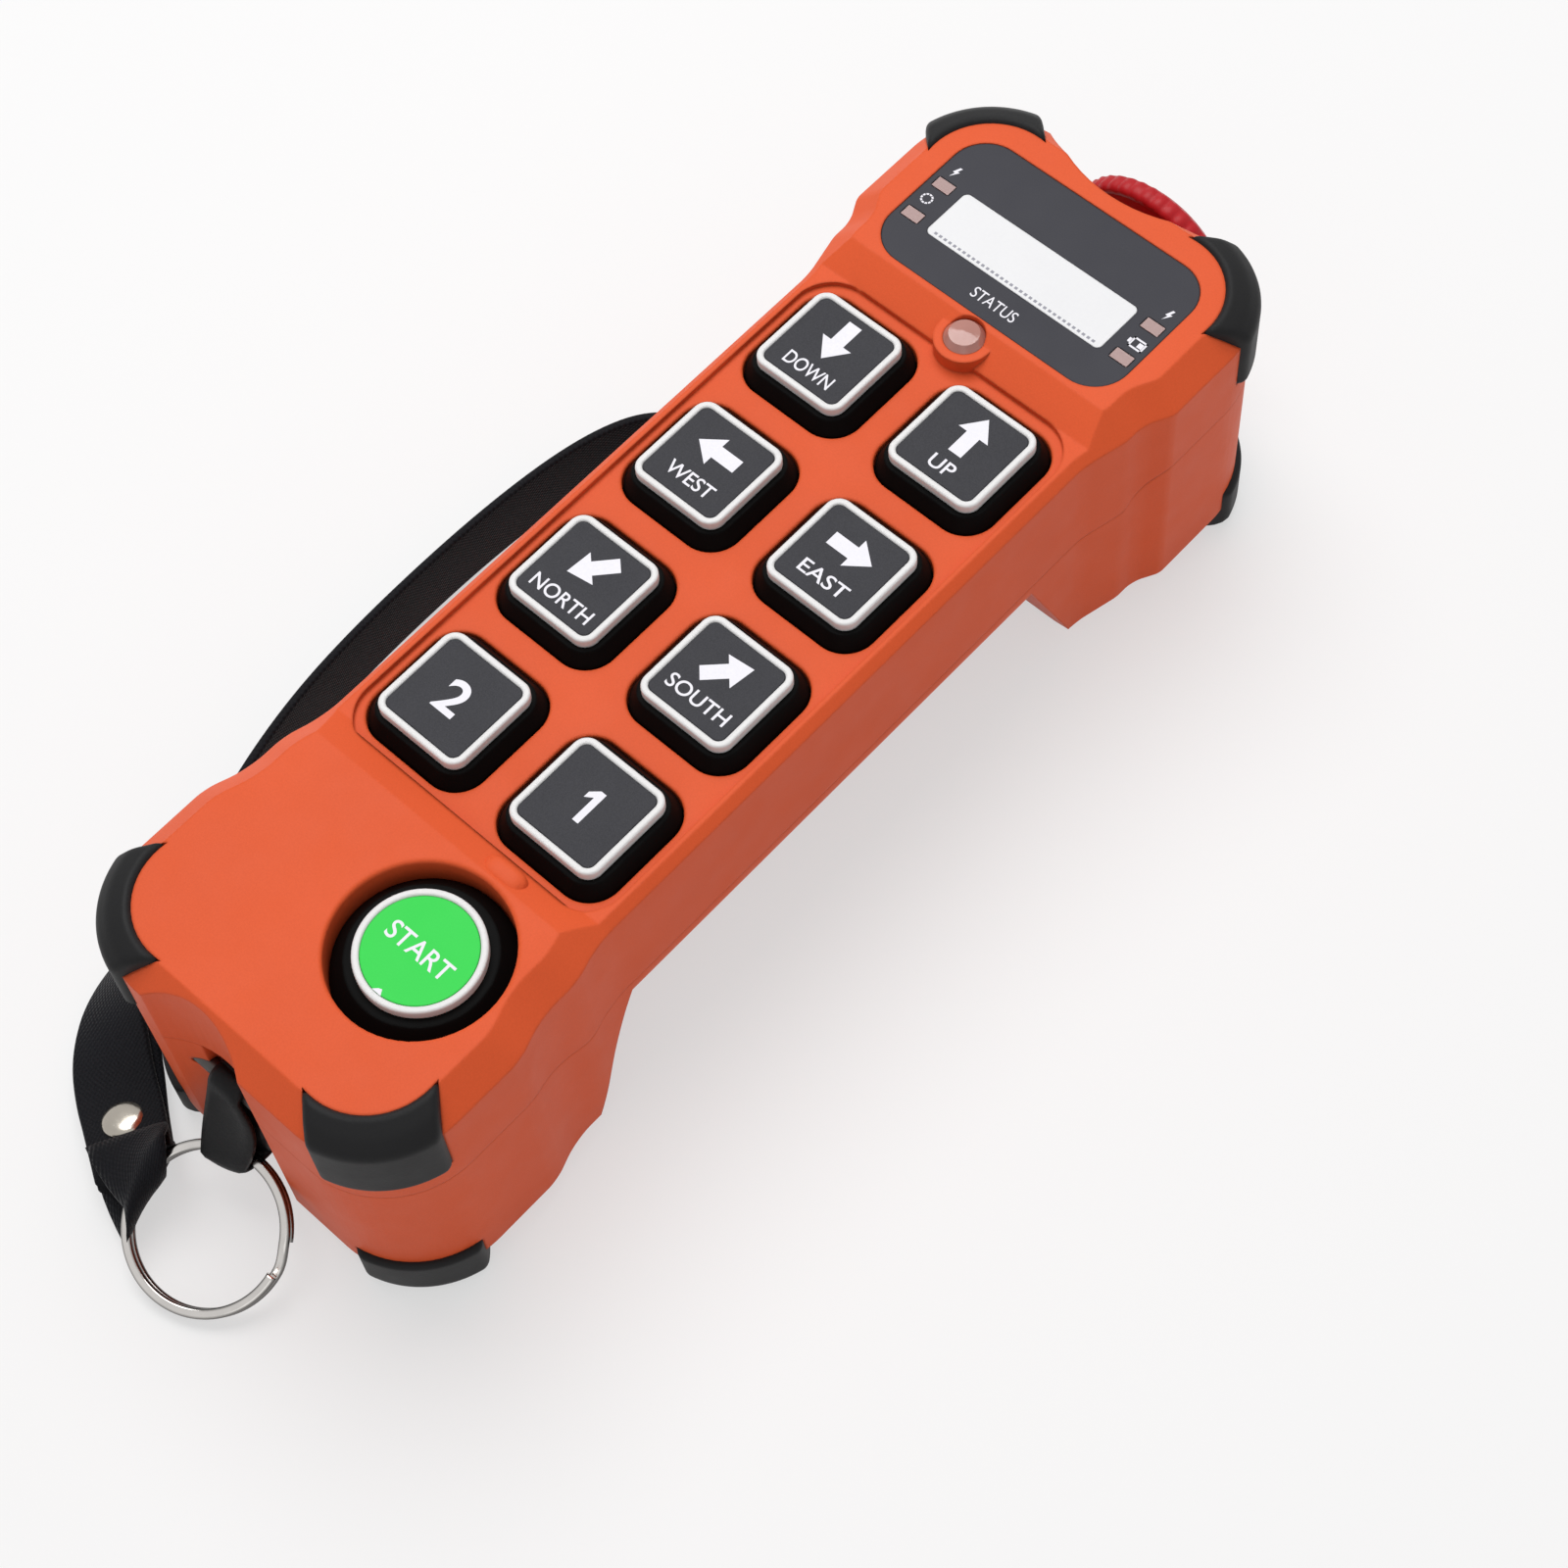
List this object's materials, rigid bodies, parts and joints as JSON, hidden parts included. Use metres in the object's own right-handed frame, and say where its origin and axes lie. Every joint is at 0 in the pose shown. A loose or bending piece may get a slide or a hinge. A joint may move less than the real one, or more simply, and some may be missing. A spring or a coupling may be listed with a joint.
{
  "type": "crane radio remote control",
  "caption": "Handheld crane radio transmitter with a dog-bone housing, arrow keys, start button, display, emergency-stop head at one end, rubber corner guards and a wrist strap on a ring.",
  "frame": {"origin": "middle of the base: halfway across, halfway along from the lanyard-end guards to the emergency-stop head, on the plane of the lower guards' feet", "axes": "+Y from the lanyard end to the display and emergency-stop end, +Z out of the key face, +X to the right when the display end is up and the keys are seen"},
  "size_m": [0.0838, 0.2157, 0.0513],
  "materials": {
    "housing": "satin",
    "guard": "matte",
    "seal": "matte",
    "boot": "matte",
    "rim": "satin",
    "insert": "matte",
    "start": "satin",
    "panel": "matte",
    "window": "gloss",
    "lamp": "gloss",
    "module": "matte",
    "lens": "gloss",
    "board": "satin",
    "switch": "matte",
    "cell": "satin",
    "contact": "satin",
    "steel": "satin",
    "collar": "matte",
    "stem": "satin",
    "stop": "gloss",
    "tab": "matte",
    "ring": "polished",
    "strap": "woven"
  },
  "bodies": {
    "housing": {"front_guard_near_left": "guard", "rear_guard_near_left": "guard", "front_guard_near_right": "guard", "rear_guard_near_right": "guard", "front_guard_far_left": "guard", "rear_guard_far_left": "guard", "front_guard_far_right": "guard", "rear_guard_far_right": "guard", "housing_seal": "seal", "front_housing": "housing", "rear_housing": "housing", "display_panel": "panel", "display_window": "window", "indicator_lenses": "lamp", "display_module": "module", "status_lens": "lens", "circuit_board": "board", "key_switches": "switch", "battery_cover": "housing", "batteries": "cell", "battery_contacts": "contact", "case_screws": "steel", "estop_collar": "collar", "estop_switch": "switch", "anchor_bar": "steel", "anchor_tab": "tab", "wrist_strap": "strap", "strap_rivet": "ring"},
    "key_two": {"boot_two": "boot", "rim_two": "rim", "insert_two": "insert"},
    "key_one": {"boot_one": "boot", "rim_one": "rim", "insert_one": "insert"},
    "key_north": {"boot_north": "boot", "rim_north": "rim", "insert_north": "insert"},
    "key_south": {"boot_south": "boot", "rim_south": "rim", "insert_south": "insert"},
    "key_west": {"boot_west": "boot", "rim_west": "rim", "insert_west": "insert"},
    "key_east": {"boot_east": "boot", "rim_east": "rim", "insert_east": "insert"},
    "key_down": {"boot_down": "boot", "rim_down": "rim", "insert_down": "insert"},
    "key_up": {"boot_up": "boot", "rim_up": "rim", "insert_up": "insert"},
    "key_start": {"boot_start": "boot", "rim_start": "rim", "insert_start": "start"},
    "estop_plunger": {"estop_stem": "stem"},
    "estop_button": {"estop_head": "stop"},
    "key_ring": {"split_ring": "ring"}
  },
  "joints": [
    {"name": "press_two", "type": "slide", "parent": "housing", "child": "key_two", "axis": [0, 0, -1], "range_m": [0, 0.002], "stiffness_N_per_m": 800},
    {"name": "press_one", "type": "slide", "parent": "housing", "child": "key_one", "axis": [0, 0, -1], "range_m": [0, 0.002], "stiffness_N_per_m": 800},
    {"name": "press_north", "type": "slide", "parent": "housing", "child": "key_north", "axis": [0, 0, -1], "range_m": [0, 0.002], "stiffness_N_per_m": 800},
    {"name": "press_south", "type": "slide", "parent": "housing", "child": "key_south", "axis": [0, 0, -1], "range_m": [0, 0.002], "stiffness_N_per_m": 800},
    {"name": "press_west", "type": "slide", "parent": "housing", "child": "key_west", "axis": [0, 0, -1], "range_m": [0, 0.002], "stiffness_N_per_m": 800},
    {"name": "press_east", "type": "slide", "parent": "housing", "child": "key_east", "axis": [0, 0, -1], "range_m": [0, 0.002], "stiffness_N_per_m": 800},
    {"name": "press_down", "type": "slide", "parent": "housing", "child": "key_down", "axis": [0, 0, -1], "range_m": [0, 0.002], "stiffness_N_per_m": 800},
    {"name": "press_up", "type": "slide", "parent": "housing", "child": "key_up", "axis": [0, 0, -1], "range_m": [0, 0.002], "stiffness_N_per_m": 800},
    {"name": "press_start", "type": "slide", "parent": "housing", "child": "key_start", "axis": [0, 0, -1], "range_m": [0, 0.002], "stiffness_N_per_m": 800},
    {"name": "estop_press", "type": "slide", "parent": "housing", "child": "estop_plunger", "axis": [0, -1, 0], "range_m": [0, 0.0035], "stiffness_N_per_m": 2000},
    {"name": "estop_twist", "type": "hinge", "parent": "estop_plunger", "child": "estop_button", "pos_m": [0, 0.09675, 0.0255], "axis": [0, -1, 0], "range_deg": [0, 45], "stiffness_Nm_per_rad": 0.03},
    {"name": "ring_turn", "type": "hinge", "parent": "housing", "child": "key_ring", "pos_m": [-0.00089, -0.10707, 0.00658], "axis": [0.1445, -0.3971, 0.9063], "continuous": true}
  ]
}
